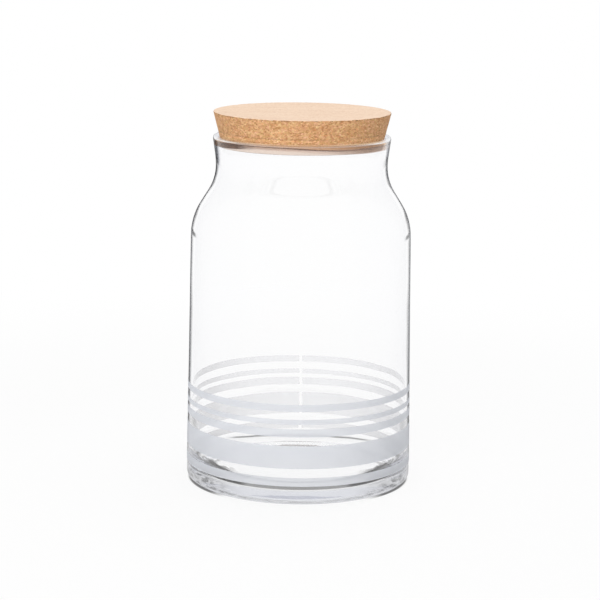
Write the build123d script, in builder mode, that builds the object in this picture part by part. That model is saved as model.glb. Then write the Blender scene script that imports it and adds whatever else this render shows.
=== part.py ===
# Clear glass storage jar with frosted bands fired round its lower wall and a
# tapered cork stopper wedged in its mouth.
# Millimetres, +Z up. The origin is the centre of the base, on the surface that
# the jar stands on, and +Y is the back, where the print of the bands meets.

import os
from math import atan, cos, radians, tan

from build123d import *

os.makedirs("parts", exist_ok=True)

# Driving sizes of the jar's outer face, from the base up. Each radius and height
# is where two straight stretches of the outline would meet if not rounded.
foot_radius = 65.9
foot_round = 4.5
body_taper = 2.2
shoulder_height = 154.6
shoulder_round = 34.6
shoulder_inset = 14.1
shoulder_slope_angle = 32.0
neck_low_round = 28.0
neck_straight = 0.2
neck_high_round = 40.0
lip_rise = 14.55
lip_flare_angle = 7.6

# Driving sizes of the glass itself
wall_thickness = 2.4
lip_thickness = 3.6
floor_height = 5.5
floor_round = 14.5
floor_crown = 0.3
rest_ring_width = 7.4
punt_depth = 1.4

# Driving sizes of the cork stopper
cork_rise = 13.8
cork_insertion = 5.8
cork_taper_angle = 14.3
seat_clearance = 0.3
cork_top_round = 0.5
cork_bottom_round = 0.8

# Driving sizes of the frosted bands, from the top one down
band_tops = (58.6, 50.1, 44.6, 34.9, 16.4)
band_widths = (3.9, 2.9, 4.6, 13.2, 5.0)
band_thickness = 0.15
band_seat_gap = 0.05
print_gap_width = 1.7


# Glass jar: one thick-based, thin-walled shell, turned about the jar's axis.
# Its neck is as long as the rounds at its two ends and a short straight between.

shoulder_slope = radians(shoulder_slope_angle)
lip_flare = radians(lip_flare_angle)
shoulder_radius = foot_radius - body_taper
neck_radius = shoulder_radius - shoulder_inset
neck_low_height = shoulder_height + shoulder_inset / tan(shoulder_slope)
neck_low_run = neck_low_round * tan(shoulder_slope / 2)
neck_high_run = neck_high_round * tan(lip_flare / 2)
neck_high_height = neck_low_height + neck_low_run + neck_straight + neck_high_run
lip_height = neck_high_height + lip_rise
lip_radius = neck_radius + lip_rise * tan(lip_flare)
mouth_radius = lip_radius - lip_thickness
bore_radius = neck_radius - wall_thickness

# The lip is a full round: its two corner rounds leave a narrow flat between them
lip_round_share = 0.47
lip_round = lip_thickness * lip_round_share

# A parallel wall's inner corner lies this far along the wall from its outer one
shoulder_shift = wall_thickness * tan(shoulder_slope / 2)
flare_shift = wall_thickness * tan(lip_flare / 2)

with BuildPart() as glass_jar:
    with BuildSketch(Plane.XZ):
        with BuildLine():
            # Underside: a shallow punt inside the ring that the jar rests on
            ring_inner_radius = foot_radius - foot_round - rest_ring_width
            punt_radius = (ring_inner_radius**2 + punt_depth**2) / (2 * punt_depth)
            RadiusArc((0, punt_depth), (ring_inner_radius, 0), punt_radius)
            # Outer face, lip, and inner face down to the floor's crown
            FilletPolyline(
                (ring_inner_radius, 0),
                (foot_radius, 0),
                (shoulder_radius, shoulder_height),
                (neck_radius, neck_low_height),
                (neck_radius, neck_high_height),
                (lip_radius, lip_height),
                (mouth_radius, lip_height),
                (bore_radius, neck_high_height + flare_shift),
                (bore_radius, neck_low_height - shoulder_shift),
                (shoulder_radius - wall_thickness, shoulder_height - shoulder_shift),
                (foot_radius - wall_thickness, floor_height),
                (0, floor_height + floor_crown),
                radius=(
                    foot_round,
                    shoulder_round,
                    neck_low_round,
                    neck_high_round,
                    lip_round,
                    lip_round,
                    neck_high_round + wall_thickness,
                    neck_low_round + wall_thickness,
                    shoulder_round - wall_thickness,
                    floor_round,
                ),
            )
            Line((0, floor_height + floor_crown), (0, punt_depth))
        make_face()
    revolve(axis=Axis.Z)
glass_jar.part.label = "glass_jar"
export_step(glass_jar.part, "parts/glass_jar.step")


# Cork stopper: one tapered plug, whose side clears the round of the lip by the
# seat clearance all the way round

cork_taper = radians(cork_taper_angle)
bore_flare = atan((mouth_radius - bore_radius) / lip_rise)
lip_centre_height = lip_height - lip_round
lip_centre_radius = mouth_radius - lip_round * tan(bore_flare) + lip_round / cos(bore_flare)
cork_seat_radius = lip_centre_radius - (lip_round + seat_clearance) / cos(cork_taper)
cork_top_height = lip_height + cork_rise
cork_bottom_height = lip_height - cork_insertion


def cork_radius(height):
    return cork_seat_radius + (height - lip_centre_height) * tan(cork_taper)


with BuildPart() as cork_stopper:
    with BuildSketch(Plane.XZ):
        with BuildLine():
            FilletPolyline(
                (0, cork_bottom_height),
                (cork_radius(cork_bottom_height), cork_bottom_height),
                (cork_radius(cork_top_height), cork_top_height),
                (0, cork_top_height),
                radius=(cork_bottom_round, cork_top_round),
            )
            Line((0, cork_top_height), (0, cork_bottom_height))
        make_face()
    revolve(axis=Axis.Z)
cork_stopper.part.label = "cork_stopper"
export_step(cork_stopper.part, "parts/cork_stopper.step")


# Frosted bands: thin rings of fired white enamel on the outer face, a hair clear
# of it so that neither round cuts the other, each with the narrow upright gap at
# the back where the print starts and ends


def band_radius(height):
    lean_share = height / shoulder_height
    return foot_radius - body_taper * lean_share + band_seat_gap


for number, (band_top, band_width) in enumerate(zip(band_tops, band_widths), start=1):
    band_bottom = band_top - band_width
    low_radius = band_radius(band_bottom)
    top_radius = band_radius(band_top)
    with BuildPart() as frosted_band:
        with BuildSketch(Plane.XZ):
            with BuildLine():
                Polyline(
                    (low_radius, band_bottom),
                    (low_radius + band_thickness, band_bottom),
                    (top_radius + band_thickness, band_top),
                    (top_radius, band_top),
                    close=True,
                )
            make_face()
        revolve(axis=Axis.Z)
        with Locations((0, low_radius, (band_bottom + band_top) / 2)):
            Box(print_gap_width, low_radius, 2 * band_width, mode=Mode.SUBTRACT)
    frosted_band.part.label = f"frosted_band_{number}"
    export_step(frosted_band.part, f"parts/frosted_band_{number}.step")
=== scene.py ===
from math import cos, pi, radians, sin, sqrt, tan

import bpy
from mathutils import Matrix, Vector, noise


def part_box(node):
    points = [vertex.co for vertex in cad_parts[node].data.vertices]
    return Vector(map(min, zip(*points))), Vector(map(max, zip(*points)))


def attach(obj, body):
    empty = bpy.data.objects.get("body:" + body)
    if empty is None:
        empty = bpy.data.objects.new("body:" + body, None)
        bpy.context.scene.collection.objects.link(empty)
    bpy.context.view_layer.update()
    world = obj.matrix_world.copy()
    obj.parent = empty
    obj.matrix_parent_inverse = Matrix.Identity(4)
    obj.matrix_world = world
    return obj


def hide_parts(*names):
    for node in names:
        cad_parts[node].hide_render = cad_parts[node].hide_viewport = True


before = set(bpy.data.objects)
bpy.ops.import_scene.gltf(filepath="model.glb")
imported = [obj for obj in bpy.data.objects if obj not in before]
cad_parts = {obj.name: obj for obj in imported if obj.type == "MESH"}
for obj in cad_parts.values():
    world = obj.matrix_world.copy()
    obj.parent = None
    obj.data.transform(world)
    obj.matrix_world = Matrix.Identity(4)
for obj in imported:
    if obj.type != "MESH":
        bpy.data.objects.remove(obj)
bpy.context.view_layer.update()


# Camera
# It stands where the photograph's camera stood: a little over a metre in front of
# the jar and above its lip, looking down, with the slight roll of the picture.

camera_distance = 1.2097
camera_height = 0.3433
camera_tilt = radians(11.11)
camera_roll = radians(0.75)
camera_aside = radians(1.0)
camera_lens = 126.4
camera_sensor = 36.0

camera_data = bpy.data.cameras.new("camera")
camera_data.lens = camera_lens
camera_data.sensor_width = camera_sensor
camera = bpy.data.objects.new("camera", camera_data)
camera.matrix_world = (
    Matrix.Rotation(camera_aside, 4, "Z")
    @ Matrix.Translation((0, -camera_distance, camera_height))
    @ Matrix.Rotation(pi / 2 - camera_tilt, 4, "X")
    @ Matrix.Rotation(camera_roll, 4, "Z")
)
bpy.context.scene.collection.objects.link(camera)
bpy.context.scene.camera = camera


# Glass jar
# One piece of clear soda-lime glass, blown in a mould: a thick base with a shallow
# punt and a knurled rest ring, a thin wall, a waisted neck and a fire-polished lip.

foot_radius = 0.0659
foot_round = 0.0045
shoulder_radius = 0.0637
shoulder_height = 0.1546
shoulder_round = 0.0346
shoulder_slope = radians(32.0)
neck_radius = 0.0496
neck_low_round = 0.028
neck_high_round = 0.040
neck_high_height = 0.18805
lip_radius = 0.05154
lip_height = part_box("glass_jar")[1].z
lip_thickness = 0.0036
lip_round = 0.47 * lip_thickness
wall = 0.0024
floor_height = 0.0055
floor_round = 0.0145
floor_crown = 0.0003
punt_depth = 0.0014
ring_inner_radius = 0.054
neck_low_height = shoulder_height + (shoulder_radius - neck_radius) / tan(shoulder_slope)
glass_turns = 384


# The points of an outline whose corners, each (radius, height, round), are rounded
def rounded_outline(corners, step=radians(4)):
    points = []
    for before, corner, after in zip([corners[0]] + corners, corners, corners[1:] + [corners[-1]]):
        here = Vector(corner[:2])
        if corner[2] == 0:
            points.append(here)
            continue
        arriving = (here - Vector(before[:2])).normalized()
        leaving = (Vector(after[:2]) - here).normalized()
        turn = arriving.angle_signed(leaving)
        run = corner[2] * tan(abs(turn) / 2)
        side = Vector((arriving.y, -arriving.x)) * (1 if turn > 0 else -1)
        centre = here - arriving * run + side * corner[2]
        spoke = -side
        steps = max(2, round(abs(turn) / step))
        for i in range(steps + 1):
            angle = -turn * i / steps
            turned_spoke = Vector((
                spoke.x * cos(angle) - spoke.y * sin(angle),
                spoke.x * sin(angle) + spoke.y * cos(angle),
            ))
            points.append(centre + turned_spoke * corner[2])
    return points


# The same outline with no run longer than the spacing
def evened(points, spacing):
    even = [points[0]]
    for start, end in zip(points, points[1:]):
        pieces = max(1, round((end - start).length / spacing))
        even += [start.lerp(end, i / pieces) for i in range(1, pieces + 1)]
    return even


# A solid turned about the jar's axis. The outline runs from the axis, outwards
# under the piece and back to the axis over it, and place bends each of its points.
def turned_solid(name, outline, turns, place):
    verts, faces, rows = [], [], []
    for point in outline:
        if point.x < 1e-6:
            rows.append([len(verts)] * turns)
            verts.append(place(0.0, point.y, 0.0))
            continue
        rows.append([len(verts) + k for k in range(turns)])
        verts += [place(point.x, point.y, 2 * pi * k / turns) for k in range(turns)]
    for low, high in zip(rows, rows[1:]):
        for k in range(turns):
            n = (k + 1) % turns
            faces.append(list(dict.fromkeys((low[k], low[n], high[n], high[k]))))
    mesh = bpy.data.meshes.new(name)
    mesh.from_pydata(verts, [], faces)
    mesh.shade_smooth()
    piece = bpy.data.objects.new(name, mesh)
    bpy.context.scene.collection.objects.link(piece)
    return piece


def eased(value, low, high):
    share = min(1.0, max(0.0, (value - low) / (high - low)))
    return share * share * (3 - 2 * share)


def grain(place, size, seed):
    return noise.noise(place / size + Vector((seed, -seed, 2 * seed)))


punt_curve = (ring_inner_radius**2 + punt_depth**2) / (2 * punt_depth)
punt_steps = 18
underside = [
    Vector((
        ring_inner_radius * i / punt_steps,
        punt_depth - punt_curve
        + sqrt(punt_curve**2 - (ring_inner_radius * i / punt_steps) ** 2),
    ))
    for i in range(punt_steps + 1)
]
shoulder_shift = wall * tan(shoulder_slope / 2)
outer_corners = [
    (ring_inner_radius, 0, 0),
    (foot_radius, 0, foot_round),
    (shoulder_radius, shoulder_height, shoulder_round),
    (neck_radius, neck_low_height, neck_low_round),
    (neck_radius, neck_high_height, neck_high_round),
    (lip_radius, lip_height, lip_round),
    (lip_radius - lip_thickness, lip_height, lip_round),
    (neck_radius - wall, neck_high_height, neck_high_round + wall),
    (neck_radius - wall, neck_low_height - shoulder_shift, neck_low_round + wall),
    (shoulder_radius - wall, shoulder_height - shoulder_shift, shoulder_round - wall),
    (foot_radius - wall, floor_height, floor_round),
    (0, floor_height + floor_crown, 0),
]
glass_outline = evened(underside[:-1] + rounded_outline(outer_corners), 0.0025)
ring_width = foot_radius - foot_round - ring_inner_radius
knurls = 150
knurl_depth = 0.00004
stipple_depth = 0.00003
wave_depth = 0.00004


# The mould leaves the underside stippled and knurled, and the blowing leaves slow
# waves inside, while the outer face of the wall stays true.
def place_glass(radius, height, angle):
    here = Vector((radius * cos(angle), radius * sin(angle), height))
    if height < 0.8 * foot_round and radius < foot_radius - 0.3 * foot_round:
        on_ring = 1 - abs(2 * (radius - ring_inner_radius) / ring_width - 1)
        knurl = max(0.0, sin(knurls * angle + 3 * grain(here, 0.02, 5)))
        lift = knurl_depth * knurl * max(0.0, min(1.0, 2 * on_ring))
        in_punt = 1 - eased(radius, 0.95 * ring_inner_radius, ring_inner_radius)
        stipple = 0.5 + 0.5 * grain(here, 0.0035, 1) + 0.3 * grain(here, 0.012, 2)
        lift += stipple_depth * in_punt * max(0.0, stipple)
        here.z += lift
        return here
    wall_inside = foot_radius - 0.6 * wall
    if radius < wall_inside and floor_height - 0.001 < height < shoulder_height:
        wave = wave_depth * (grain(here, 0.03, 3) + 0.5 * grain(here, 0.011, 4))
        on_floor = 1 - eased(height, floor_height + 0.5 * floor_round, floor_height + floor_round)
        fade = 1 - eased(height, 0.8 * shoulder_height, shoulder_height)
        here.z += wave * on_floor
        out = Vector((cos(angle), sin(angle), 0)) * wave * (1 - on_floor) * fade
        here += out
    return here


glass_jar = turned_solid("clear_glass_jar", glass_outline, glass_turns, place_glass)


# Adds a node to a tree with its settings, and sets or links its inputs by name
def add_node(tree, kind, inputs=(), **settings):
    made = tree.nodes.new(kind)
    for key, value in settings.items():
        setattr(made, key, value)
    for key, value in dict(inputs).items():
        if isinstance(value, bpy.types.NodeSocket):
            tree.links.new(value, made.inputs[key])
        else:
            made.inputs[key].default_value = value
    return made


def new_material(name):
    material = bpy.data.materials.new(name)
    material.use_nodes = True
    material.node_tree.nodes.clear()
    return material, material.node_tree


def worked(tree, operation, first, second):
    return add_node(tree, "ShaderNodeMath", {0: first, 1: second}, operation=operation).outputs[0]


def product(tree, first, *others):
    for other in others:
        first = worked(tree, "MULTIPLY", first, other)
    return first


def multiplied(tree, first, second):
    made = add_node(tree, "ShaderNodeVectorMath", {0: first, 1: second}, operation="MULTIPLY")
    return made.outputs[0]


def scaled(tree, colour, amount):
    made = add_node(tree, "ShaderNodeVectorMath", {0: colour, "Scale": amount}, operation="SCALE")
    return made.outputs[0]


def noise_share(tree, place, scale, detail):
    made = add_node(tree, "ShaderNodeTexNoise", {"Vector": place, "Scale": scale, "Detail": detail})
    return made.outputs["Fac"]


def mixed(tree, factor, first, second):
    made = add_node(tree, "ShaderNodeMix", {"Factor": factor, "A": first, "B": second})
    return made.outputs["Result"]


# A Mix node's two colours are its seventh and eighth inputs
def mixed_colours(tree, factor, first, second):
    made = add_node(tree, "ShaderNodeMix", {"Factor": factor, 6: first, 7: second}, data_type="RGBA")
    return made.outputs[2]


def ramp(tree, factor, stops):
    made = add_node(tree, "ShaderNodeValToRGB", {"Fac": factor})
    elements = made.color_ramp.elements
    for number, (position, colour) in enumerate(stops):
        element = elements[number] if number < 2 else elements.new(position)
        element.position = position
        element.color = (*colour, 1.0)
    return made.outputs["Color"]


def grey_ramp(tree, factor, stops):
    return ramp(tree, factor, [(position, (grey, grey, grey)) for position, grey in stops])


def share_between(tree, value, low, high):
    made = add_node(tree, "ShaderNodeMapRange", {"Value": value, "From Min": low, "From Max": high})
    return made.outputs["Result"]


# Goes softly from one amount to another while the value goes from low to high
def faded(tree, value, low, high, at_low, at_high):
    made = add_node(tree, "ShaderNodeMapRange", {
        "Value": value, "From Min": low, "From Max": high, "To Min": at_low, "To Max": at_high,
    }, interpolation_type="SMOOTHSTEP")
    return made.outputs["Result"]


def rising(tree, value, low, high):
    return faded(tree, value, low, high, 0.0, 1.0)


def falling(tree, value, low, high):
    return faded(tree, value, low, high, 1.0, 0.0)


# One between two soft ends of a value, each given as (low, high), and nought outside
def within(tree, value, start, end):
    return product(tree, rising(tree, value, *start), falling(tree, value, *end))


glass_material, tree = new_material("clear_glass")
place = add_node(tree, "ShaderNodeTexCoord").outputs["Object"]
axes = add_node(tree, "ShaderNodeSeparateXYZ", {"Vector": place}).outputs
across, to_back, height = axes["X"], axes["Y"], axes["Z"]
height_share = worked(tree, "DIVIDE", height, lip_height)
facing = add_node(tree, "ShaderNodeLayerWeight", {"Blend": 0.5}).outputs["Facing"]
path = add_node(tree, "ShaderNodeLightPath").outputs
from_camera = path["Is Camera Ray"]

# Painted shade: where the wall turns away from the eye its edge is painted dark, for the dark surroundings
# it would show, deeper or less by height
edge_depth = grey_ramp(tree, height_share, [
    (0.00, 0.50), (0.20, 0.51), (0.28, 0.51), (0.37, 0.50), (0.50, 0.48), (0.64, 0.47), (0.78, 0.45),
    (0.81, 0.42), (0.84, 0.42), (0.87, 0.44), (0.89, 0.50), (0.985, 0.50), (0.993, 0.38),
])
neck_depth = grey_ramp(tree, height_share, [
    (0.87, 0.00), (0.90, 0.06), (0.93, 0.10), (0.955, 0.13), (0.975, 0.13), (0.985, 0.00),
])
neck_depth = product(tree, neck_depth, faded(tree, across, -0.03, 0.03, 1.0, 0.25))
edge_depth = worked(tree, "ADD", edge_depth, neck_depth)
turned_away = worked(tree, "ADD", facing, worked(tree, "SUBTRACT", edge_depth, 0.5))
painted_edge_shade = ramp(tree, product(tree, from_camera, turned_away), [
    (0.0, (1.0, 1.0, 1.0)),
    (0.76, (0.98, 0.98, 1.0)),
    (0.80, (0.85, 0.85, 0.89)),
    (0.84, (0.25, 0.26, 0.30)),
    (0.90, (0.06, 0.063, 0.075)),
    (1.0, (0.03, 0.031, 0.035)),
])

# Painted shade at the sides low on the wall: dark marks over the foot, on the lowest stripe's top edge
# and between the stripes, for the shadows under the jar seen through the glass
lowest_band_top = 0.0164
foot_mark_top = 0.0105
shade_place = grey_ramp(tree, height_share, [
    (0.078, 0.00), (0.084, 0.45), (0.104, 0.45), (0.110, 0.00),
    (0.168, 0.00), (0.174, 0.56), (0.195, 0.56), (0.201, 0.00),
])
shade_start = faded(tree, height_share, 0.11, 0.16, 0.44, 0.58)
shade_end = worked(tree, "ADD", shade_start, 0.08)
painted_wall_shade = product(tree, faded(tree, facing, shade_start, shade_end, 0.0, from_camera), shade_place)
foot_noise = noise_share(tree, multiplied(tree, place, (1.0, 1.0, 3.0)), 160.0, 2.0)
foot_shade = product(
    tree,
    faded(tree, foot_noise, 0.40, 0.60, 0.50, 0.90),
    faded(tree, facing, 0.12, 0.45, 0.08, from_camera),
    falling(tree, height, foot_mark_top - 0.0020, foot_mark_top),
    faded(tree, height, 0.0010, 0.0035, 0.3, 1.0),
)
foot_shade_line = product(
    tree,
    within(tree, height, (foot_mark_top - 0.0007, foot_mark_top - 0.0002),
           (foot_mark_top + 0.0003, foot_mark_top + 0.0007)),
    faded(tree, facing, 0.38, 0.50, 0.0, 0.65),
    from_camera,
)
ledge_top = faded(tree, facing, 0.22, 0.46, lowest_band_top + 0.0014, lowest_band_top + 0.0040)
ledge_top = worked(tree, "ADD", ledge_top, faded(tree, foot_noise, 0.3, 0.7, -0.0012, 0.0012))
ledge_shade = product(
    tree,
    within(tree, facing, (0.16, 0.28), (0.46, 0.54)),
    rising(tree, height, lowest_band_top - 0.0004, lowest_band_top),
    falling(tree, worked(tree, "SUBTRACT", height, ledge_top), -0.0004, 0.0004),
    from_camera,
    0.75,
)
for mark in (foot_shade, foot_shade_line, ledge_shade):
    painted_wall_shade = worked(tree, "MAXIMUM", painted_wall_shade, mark)
painted_glass_shade = scaled(tree, painted_edge_shade, worked(tree, "SUBTRACT", 1.0, painted_wall_shade))

# The lip's front has the cork's colours painted on its face, a painted view of the cork through the glass:
# a pale strip, a thin dark line of painted shade that steps down to the right, and the cork's brown over it
lip_fall = worked(
    tree, "ADD",
    faded(tree, across, -0.048, -0.030, 0.0009, -0.0002),
    faded(tree, across, -0.016, 0.028, 0.0, 0.0018),
)
lip_level = worked(tree, "ADD", height, lip_fall)
lip_share = share_between(tree, lip_level, lip_height - 0.0046, lip_height + 0.0004)
lip_front = ramp(tree, lip_share, [
    (0.26, (0.80, 0.70, 0.66)),
    (0.48, (0.70, 0.60, 0.56)),
    (0.55, (0.10, 0.06, 0.05)),
    (0.63, (0.10, 0.06, 0.05)),
    (0.71, (0.90, 0.58, 0.34)),
    (0.82, (0.74, 0.41, 0.19)),
    (1.00, (0.74, 0.41, 0.19)),
])
# At the two ends the painted colours are darker, the left end near black, as painted shade
lip_left = ramp(tree, lip_share, [
    (0.20, (0.03, 0.012, 0.006)),
    (0.66, (0.03, 0.012, 0.006)),
    (0.75, (0.26, 0.11, 0.04)),
    (0.84, (0.34, 0.14, 0.05)),
    (1.00, (0.34, 0.14, 0.05)),
])
lip_right = ramp(tree, lip_share, [
    (0.20, (0.36, 0.22, 0.16)),
    (0.50, (0.24, 0.14, 0.09)),
    (0.66, (0.12, 0.06, 0.04)),
    (0.75, (0.44, 0.22, 0.10)),
    (0.84, (0.46, 0.21, 0.08)),
    (1.00, (0.46, 0.21, 0.08)),
])
to_left = falling(tree, across, -0.036, -0.022)
to_right = rising(tree, across, 0.014, 0.040)
painted_lip_view = mixed_colours(tree, to_left, lip_front, lip_left)
painted_lip_view = mixed_colours(tree, to_right, painted_lip_view, lip_right)

# They reach lower at the lip's two ends, and the part beside the cork loses them when
# nothing stands over it
to_either_end = worked(tree, "ADD", to_left, to_right)
lip_low = mixed(tree, to_either_end, lip_height - 0.0038, lip_height - 0.0045)
lip_low_end = worked(tree, "ADD", lip_low, 0.0006)
on_end = faded(tree, height, lip_height - 0.0018, lip_height - 0.0012, from_camera, 0.0)
open_above = add_node(tree, "ShaderNodeAmbientOcclusion", {"Distance": 0.030}, samples=8).outputs["AO"]
cork_over = falling(tree, open_above, 0.88, 0.995)
in_lip = product(
    tree,
    faded(tree, to_back, -0.022, -0.012, from_camera, on_end),
    rising(tree, lip_level, lip_low, lip_low_end),
    falling(tree, to_back, -0.004, 0.004),
    faded(tree, across, 0.0470, 0.0500, 1.0, 0.2),
    faded(tree, height, lip_height - 0.0016, lip_height - 0.0010, 1.0, cork_over),
)
glass = add_node(tree, "ShaderNodeBsdfPrincipled", {
    "Base Color": mixed_colours(tree, in_lip, painted_glass_shade, painted_lip_view),
    "Metallic": 0.0,
    "Roughness": 0.0,
    "IOR": 1.5,
    "Transmission Weight": 1.0,
})

# Light passes straight through, and so does a ray that is caught inside the glass; light loses a little on
# the way, and a caught ray towards the back is dimmed further as painted shade
caught = worked(tree, "GREATER_THAN", path["Ray Depth"], 5.5)
lets_light_by = worked(tree, "MAXIMUM", path["Is Shadow Ray"], path["Is Diffuse Ray"])
lets_light_by = worked(tree, "MAXIMUM", lets_light_by, caught)
way_colour_and_shade = ramp(tree, faded(tree, to_back, -0.01, 0.02, 0.0, caught), [
    (0.0, (0.97, 0.973, 0.975)),
    (1.0, (0.86, 0.865, 0.89)),
])
clear_way = add_node(tree, "ShaderNodeBsdfTransparent", {"Color": way_colour_and_shade})
see_or_light = add_node(tree, "ShaderNodeMixShader", {
    0: lets_light_by,
    1: glass.outputs["BSDF"],
    2: clear_way.outputs["BSDF"],
})
body_tint = add_node(tree, "ShaderNodeVolumeAbsorption", {
    "Color": (0.2, 0.25, 0.4, 1.0),
    "Density": 1.4,
})
add_node(tree, "ShaderNodeOutputMaterial", {
    "Surface": see_or_light.outputs["Shader"],
    "Volume": body_tint.outputs["Volume"],
})
glass_jar.data.materials.append(glass_material)
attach(glass_jar, "jar")
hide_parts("glass_jar")


# Frosted bands
# Five stripes of white enamel, screen printed round the lower wall and fired on.
# The print starts and ends at the back, where each stripe leaves a narrow gap.

band_tops = (0.0586, 0.0501, 0.0446, 0.0349, lowest_band_top)
band_widths = (0.0039, 0.0029, 0.0046, 0.0132, 0.0050)
band_proud = 0.00015
band_sunk = 0.00005
print_gap = 0.0017
band_turns = 256


def wall_radius(height):
    return foot_radius + (shoulder_radius - foot_radius) * height / shoulder_height


def printed_band(name, top, width):
    verts, faces = [], []
    gap_angle = print_gap / wall_radius(top)
    start = pi / 2 + gap_angle / 2
    sweep = 2 * pi - gap_angle
    for k in range(band_turns + 1):
        angle = start + sweep * k / band_turns
        for height, proud in (
            (top - width, -band_sunk),
            (top - width, band_proud),
            (top, band_proud),
            (top, -band_sunk),
        ):
            radius = wall_radius(height) + proud
            verts.append((radius * cos(angle), radius * sin(angle), height))
    for k in range(band_turns):
        for side in range(4):
            a, b = 4 * k + side, 4 * k + (side + 1) % 4
            faces.append((a, a + 4, b + 4, b))
    faces.append((0, 1, 2, 3))
    faces.append(tuple(4 * band_turns + side for side in (3, 2, 1, 0)))
    mesh = bpy.data.meshes.new(name)
    mesh.from_pydata(verts, [], faces)
    mesh.shade_smooth()
    mesh.set_sharp_from_angle(angle=radians(40))
    for face in mesh.polygons:
        faces_axis = face.normal.x * face.center.x + face.normal.y * face.center.y < 0
        face.material_index = 1 if faces_axis and abs(face.normal.z) < 0.5 else 0
    piece = bpy.data.objects.new(name, mesh)
    bpy.context.scene.collection.objects.link(piece)
    return piece


# The tone that both faces of the print share: a faint cloud in the enamel, and painted shade darker towards
# the foot
enamel_shade = bpy.data.node_groups.new("enamel_cloud_and_low_shade", "ShaderNodeTree")
enamel_shade.interface.new_socket("Colour", in_out="INPUT", socket_type="NodeSocketColor")
enamel_shade.interface.new_socket("Shade", in_out="OUTPUT", socket_type="NodeSocketColor")
plain_colour = add_node(enamel_shade, "NodeGroupInput").outputs["Colour"]
place = add_node(enamel_shade, "ShaderNodeTexCoord").outputs["Object"]
height = add_node(enamel_shade, "ShaderNodeSeparateXYZ", {"Vector": place}).outputs["Z"]
cloud_tone = mixed(enamel_shade, noise_share(enamel_shade, place, 90.0, 3.0), 0.97, 1.02)
low_painted_shade = faded(enamel_shade, height, 0.005, 0.045, 0.91, 1.0)
cloud_and_shade_tone = product(enamel_shade, cloud_tone, low_painted_shade)
add_node(enamel_shade, "NodeGroupOutput", {"Shade": scaled(enamel_shade, plain_colour, cloud_and_shade_tone)})


# The print lets through a share of what lies behind it, and its back face and its
# mirror images let all of it through
def frosted_enamel(name, colour, see_through, side_shade):
    material, tree = new_material(name)
    shade = add_node(tree, "ShaderNodeGroup", {"Colour": (*colour, 1.0)}, node_tree=enamel_shade)
    facing = add_node(tree, "ShaderNodeLayerWeight", {"Blend": 0.5}).outputs["Facing"]
    # Painted shade: the print darkens where it turns away from the eye, towards its sides
    side_shaded = scaled(tree, shade.outputs["Shade"], faded(tree, facing, 0.02, 0.35, 1.0, side_shade))
    enamel = add_node(tree, "ShaderNodeBsdfPrincipled", {
        "Base Color": side_shaded,
        "Roughness": 0.6,
        "Specular IOR Level": 0.3,
    })
    lit_from_behind = add_node(tree, "ShaderNodeBsdfTranslucent", {"Color": side_shaded})
    frost = add_node(tree, "ShaderNodeMixShader", {
        0: 0.4,
        1: enamel.outputs["BSDF"],
        2: lit_from_behind.outputs["BSDF"],
    })
    thin_print = add_node(tree, "ShaderNodeBsdfTransparent")
    behind = add_node(tree, "ShaderNodeNewGeometry").outputs["Backfacing"]
    bounces = add_node(tree, "ShaderNodeLightPath").outputs["Glossy Depth"]
    mirrored = worked(tree, "GREATER_THAN", bounces, 0.5)
    see_share = faded(tree, facing, 0.02, 0.40, see_through, 0.5 * see_through)
    clear_share = worked(tree, "MAXIMUM", worked(tree, "MAXIMUM", behind, mirrored), see_share)
    print_layer = add_node(tree, "ShaderNodeMixShader", {
        0: clear_share,
        1: frost.outputs["Shader"],
        2: thin_print.outputs["BSDF"],
    })
    add_node(tree, "ShaderNodeOutputMaterial", {"Surface": print_layer.outputs["Shader"]})
    return material


# One enamel in two brightnesses: the outer face darker, the face on the glass lighter with a deeper side
# shade, as painted light and shade
outer_enamel = frosted_enamel("frosted_enamel_outside", (0.82, 0.84, 0.89), 0.25, 0.97)
inner_enamel = frosted_enamel("frosted_enamel_on_glass", (0.93, 0.925, 0.955), 0.52, 0.52)

for number, (band_top, band_width) in enumerate(zip(band_tops, band_widths), start=1):
    band = printed_band(f"enamel_band_{number}", band_top, band_width)
    band.data.materials.append(outer_enamel)
    band.data.materials.append(inner_enamel)
    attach(band, "jar")
    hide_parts(f"frosted_band_{number}")


# Cork stopper
# One tapered plug of agglomerated cork: granules of bark pressed with a binder,
# then turned and sanded, so that its faces show cut granules and small pits.

cork_low, cork_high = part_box("cork_stopper")
cork_taper = radians(14.3)
cork_top_radius = cork_high.x
cork_bottom_radius = cork_top_radius - (cork_high.z - cork_low.z) * tan(cork_taper)
cork_outline = evened(rounded_outline([
    (0, cork_low.z, 0),
    (cork_bottom_radius, cork_low.z, 0.0008),
    (cork_top_radius, cork_high.z, 0.0005),
    (0, cork_high.z, 0),
], radians(20)), 0.0009)
granule = 0.0016
pit_depth = 0.00035
cork_turns = 420


# Granules stand a little apart from each other, and some have fallen out
def place_cork(radius, height, angle):
    here = Vector((radius * cos(angle), radius * sin(angle), height))
    if radius == 0:
        return here
    spots = noise.voronoi(Vector((here.x, here.y, 1.4 * here.z)) / granule)
    crevice = 1 - eased(spots[0][1] - spots[0][0], 0.0, 0.35)
    fallen = eased(grain(here, 1.7 * granule, 7), 0.42, 0.60)
    on_side = 1 - eased(height, cork_high.z - 0.0006, cork_high.z - 0.0001)
    on_top = 1 - on_side
    depth = pit_depth * (0.30 * crevice + 1.0 * fallen)
    here.z -= depth * on_top * 0.5
    inward = depth * on_side * eased(height, cork_low.z, cork_low.z + 0.0004)
    here.x -= inward * cos(angle)
    here.y -= inward * sin(angle)
    return here


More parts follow.
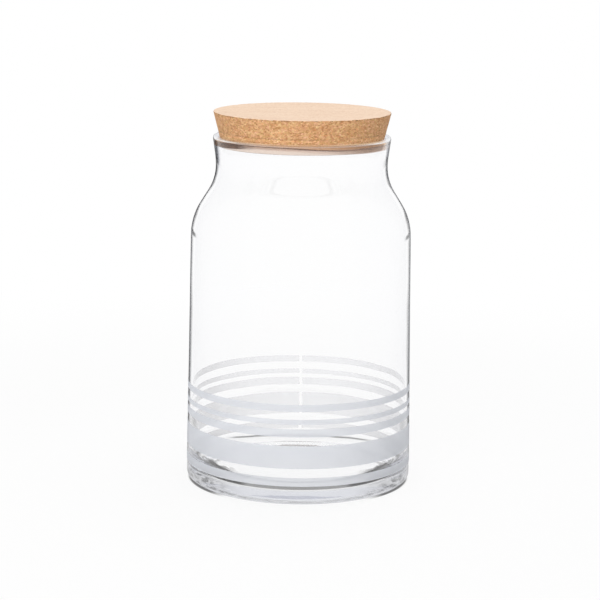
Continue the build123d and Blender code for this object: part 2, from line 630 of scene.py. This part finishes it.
cork = turned_solid("pressed_cork_stopper", cork_outline, cork_turns, place_cork)
cork.data.set_sharp_from_angle(angle=radians(60))
cork_material, tree = new_material("pressed_cork")
place = add_node(tree, "ShaderNodeTexCoord").outputs["Object"]
height = add_node(tree, "ShaderNodeSeparateXYZ", {"Vector": place}).outputs["Z"]
pressed = multiplied(tree, place, (1.0, 1.0, 1.4))
granules = add_node(tree, "ShaderNodeTexVoronoi", {"Vector": pressed, "Scale": 1000.0})
granule_parts = add_node(tree, "ShaderNodeSeparateColor", {"Color": granules.outputs["Color"]}).outputs
fine = noise_share(tree, place, 1900.0, 3.0)
pick = worked(tree, "ADD", product(tree, granule_parts[0], 0.5), product(tree, fine, 0.5))
side_colour = ramp(tree, pick, [
    (0.15, (0.36, 0.16, 0.060)),
    (0.38, (0.58, 0.31, 0.145)),
    (0.60, (0.68, 0.39, 0.20)),
    (0.85, (0.86, 0.58, 0.33)),
])
granule_hue = ramp(tree, granule_parts[1], [
    (0.00, (1.06, 0.92, 0.84)),
    (0.30, (1.00, 1.00, 1.00)),
    (0.60, (0.98, 1.03, 0.88)),
    (0.80, (1.02, 0.96, 1.00)),
    (1.00, (1.06, 1.00, 1.14)),
])
side_colour = multiplied(tree, side_colour, granule_hue)
streaks = noise_share(tree, multiplied(tree, place, (0.12, 1.0, 1.0)), 260.0, 2.0)
# The top is paler than the side: partly its sanded face, partly painted sheen from the light above
top_pick = worked(tree, "ADD", product(tree, pick, 0.6), product(tree, streaks, 0.4))
top_colour_and_sheen = ramp(tree, top_pick, [
    (0.20, (0.76, 0.53, 0.38)),
    (0.50, (0.90, 0.68, 0.51)),
    (0.80, (0.97, 0.78, 0.62)),
])
normal = add_node(tree, "ShaderNodeNewGeometry").outputs["True Normal"]
upward = add_node(tree, "ShaderNodeSeparateXYZ", {"Vector": normal}).outputs["Z"]
on_top = rising(tree, upward, 0.5, 0.85)
cork_colour = mixed_colours(tree, on_top, side_colour, top_colour_and_sheen)

# Dots under the top's edge, and a light streak with a dark line over it near the lip
rim_dots = product(
    tree,
    faded(tree, noise_share(tree, place, 900.0, 1.0), 0.50, 0.60, 0.0, 0.45),
    rising(tree, height, cork_high.z - 0.0010, cork_high.z - 0.0006),
    worked(tree, "SUBTRACT", 1.0, on_top),
)
above_lip = worked(tree, "SUBTRACT", height, lip_height)
streak_share = faded(tree, noise_share(tree, place, 45.0, 2.0), 0.40, 0.60, 0.2, 1.0)
side_streak = product(tree, within(tree, above_lip, (0.0004, 0.0012), (0.0020, 0.0025)), streak_share, 0.16)
side_dark_line = product(tree, within(tree, above_lip, (0.0023, 0.0027), (0.0029, 0.0033)), streak_share, 0.22)
tone = worked(tree, "ADD", 1.0, side_streak)
tone = worked(tree, "SUBTRACT", tone, side_dark_line)
tone = worked(tree, "SUBTRACT", tone, rim_dots)

# The end that goes into the mouth is paler, with a darker ring of painted shade from the lip, where the lip
# covers it
mouth_share = share_between(tree, height, cork_low.z, cork_low.z + 0.010)
mouth_end_and_lip_shade = ramp(tree, mouth_share, [
    (0.00, (0.55, 0.50, 0.48)),
    (0.04, (0.79, 0.645, 0.55)),
    (0.24, (0.79, 0.645, 0.55)),
    (0.30, (0.60, 0.45, 0.37)),
    (0.50, (0.62, 0.37, 0.20)),
])
out_of_mouth = rising(tree, mouth_share, 0.44, 0.50)
cork_surface = add_node(tree, "ShaderNodeBsdfPrincipled", {
    "Base Color": mixed_colours(tree, out_of_mouth, mouth_end_and_lip_shade, scaled(tree, cork_colour, tone)),
    "Roughness": 0.75,
    "Specular IOR Level": 0.2,
})
add_node(tree, "ShaderNodeOutputMaterial", {"Surface": cork_surface.outputs["BSDF"]})
cork.data.materials.append(cork_material)
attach(cork, "stopper")
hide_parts("cork_stopper")


# Studio
# A white floor in a white room, lit softly from overhead and from front and back.
# Glass mirrors the room white, but for the dark far end that its edges catch.

floor_mesh = bpy.data.meshes.new("studio_floor")
floor_reach = 40.0
floor_mesh.from_pydata(
    [(x * floor_reach, y * floor_reach, 0) for x, y in ((-1, -1), (1, -1), (1, 1), (-1, 1))],
    [], [(0, 1, 2, 3)],
)
studio_floor = bpy.data.objects.new("studio_floor", floor_mesh)
bpy.context.scene.collection.objects.link(studio_floor)


# One where a ray comes from the camera, a mirror or glass, and nought elsewhere
def seen_share(tree, path):
    seen = worked(tree, "MAXIMUM", path["Is Camera Ray"], path["Is Glossy Ray"])
    return worked(tree, "MAXIMUM", seen, path["Is Transmission Ray"])


floor_material, tree = new_material("white_floor")
path = add_node(tree, "ShaderNodeLightPath").outputs
is_seen = seen_share(tree, path)
is_through = worked(tree, "SUBTRACT", is_seen, path["Is Camera Ray"])
place = add_node(tree, "ShaderNodeTexCoord").outputs["Object"]
axes = add_node(tree, "ShaderNodeSeparateXYZ", {"Vector": place}).outputs
across, to_back = axes["X"], axes["Y"]
reach = add_node(tree, "ShaderNodeVectorMath", {0: place}, operation="LENGTH").outputs["Value"]
backness = worked(tree, "DIVIDE", to_back, reach)

# How dark the far end is by its distance, over two metres, with the right side lighter
left_end = grey_ramp(tree, worked(tree, "DIVIDE", reach, 2.0), [
    (0.025, 1.00), (0.050, 0.25), (0.125, 0.20), (0.250, 0.26), (0.450, 0.18),
    (0.485, 0.30), (0.515, 0.05), (0.600, 0.05), (0.650, 0.30), (0.750, 0.03),
])
right_end = worked(tree, "ADD", left_end, 0.12)
dark_end = mixed(tree, rising(tree, across, -0.05, 0.05), left_end, right_end)

# It lies in a wedge behind the jar, and only what the glass has mirrored shows it
aside = worked(tree, "SUBTRACT", worked(tree, "ABSOLUTE", across, 0.0), 0.05)
slope = worked(tree, "DIVIDE", aside, to_back)
near_slope = falling(tree, slope, 0.40, 0.66)
neck_slope = falling(tree, slope, 0.60, 0.90)
far_slope = falling(tree, slope, 0.33, 0.54)
at_end = faded(tree, reach, 0.5, 0.7, near_slope, far_slope)
at_end = faded(tree, reach, 0.98, 1.03, at_end, neck_slope)
at_end = faded(tree, reach, 1.22, 1.30, at_end, far_slope)
mirrored_end = product(
    tree,
    worked(tree, "GREATER_THAN", path["Glossy Depth"], 0.5),
    faded(tree, path["Ray Depth"], 3.4, 3.6, 1.0, 0.12),
    worked(tree, "GREATER_THAN", to_back, 0.0),
    at_end,
)

# Painted shadows under the jar: dark rings, each between a soft start and a soft end
ring_start, ring_end = (0.0480, 0.0510), (0.0575, 0.0595)
rim_start, rim_end = (0.0595, 0.0605), (0.0640, 0.0655)
back_ring_start, back_ring_end = (0.0700, 0.0710), (0.0720, 0.0730)
ring_shadow = product(
    tree,
    within(tree, reach, ring_start, ring_end),
    falling(tree, backness, 0.76, 0.84),
    is_through,
)
ring_shadow_depth = faded(tree, backness, -0.87, -0.80, 0.33, 0.08)
rim_shadow = product(
    tree,
    within(tree, reach, rim_start, rim_end),
    rising(tree, backness, -0.80, -0.60),
    falling(tree, backness, 0.20, 0.30),
    is_seen,
)
back_ring_shadow = product(
    tree,
    within(tree, reach, back_ring_start, back_ring_end),
    rising(tree, backness, 0.76, 0.84),
    is_through,
)
look = product(
    tree,
    mixed(tree, mirrored_end, 1.0, dark_end),
    mixed(tree, ring_shadow, 1.0, ring_shadow_depth),
    mixed(tree, rim_shadow, 1.0, 0.20),
    mixed(tree, back_ring_shadow, 1.0, 0.25),
)
paint_colour = add_node(tree, "ShaderNodeCombineColor", {0: look, 1: look, 2: look})
floor_paint = add_node(tree, "ShaderNodeBsdfDiffuse", {"Color": paint_colour.outputs[0]})
floor_white = add_node(tree, "ShaderNodeEmission", {"Strength": look})
floor_mix = add_node(tree, "ShaderNodeMixShader", {
    0: product(tree, is_seen, faded(tree, reach, 0.2, 0.6, 0.85, 1.0)),
    1: floor_paint.outputs["BSDF"],
    2: floor_white.outputs["Emission"],
})
add_node(tree, "ShaderNodeOutputMaterial", {"Surface": floor_mix.outputs["Shader"]})
floor_mesh.materials.append(floor_material)

world = bpy.data.worlds.new("white_surround")
world.use_nodes = True
bpy.context.scene.world = world
tree = world.node_tree
tree.nodes.clear()
path = add_node(tree, "ShaderNodeLightPath").outputs
direction = add_node(tree, "ShaderNodeTexCoord").outputs["Generated"]
axes = add_node(tree, "ShaderNodeSeparateXYZ", {"Vector": direction}).outputs
fore_and_aft = product(tree, axes["Y"], axes["Y"])
beside = faded(tree, axes["X"], -0.3, 1.0, 0.32, 0.18)
room_light = mixed(tree, fore_and_aft, beside, 1.05)
strength = mixed(tree, seen_share(tree, path), room_light, 1.0)
background = add_node(tree, "ShaderNodeBackground", {
    "Color": (1.0, 1.0, 1.0, 1.0),
    "Strength": strength,
})
add_node(tree, "ShaderNodeOutputWorld", {"Surface": background.outputs["Background"]})


def soft_lamp(name, place, aim, size, power):
    data = bpy.data.lights.new(name, "AREA")
    data.shape = "DISK"
    data.size = size
    data.energy = power
    lamp = bpy.data.objects.new(name, data)
    lamp.location = place
    lamp.rotation_mode = "QUATERNION"
    lamp.rotation_quaternion = (Vector(aim) - Vector(place)).to_track_quat("-Z", "Y")
    lamp.visible_glossy = False
    lamp.visible_transmission = False
    bpy.context.scene.collection.objects.link(lamp)
    return lamp


soft_lamp("overhead_lamp", (0.1, 0.1, 1.3), (0, 0, 0.1), 0.9, 6.0)
soft_lamp("front_fill", (-0.4, -1.3, 0.6), (0, 0, 0.12), 0.8, 7.0)

view = bpy.context.scene.view_settings
view.view_transform = "Standard"
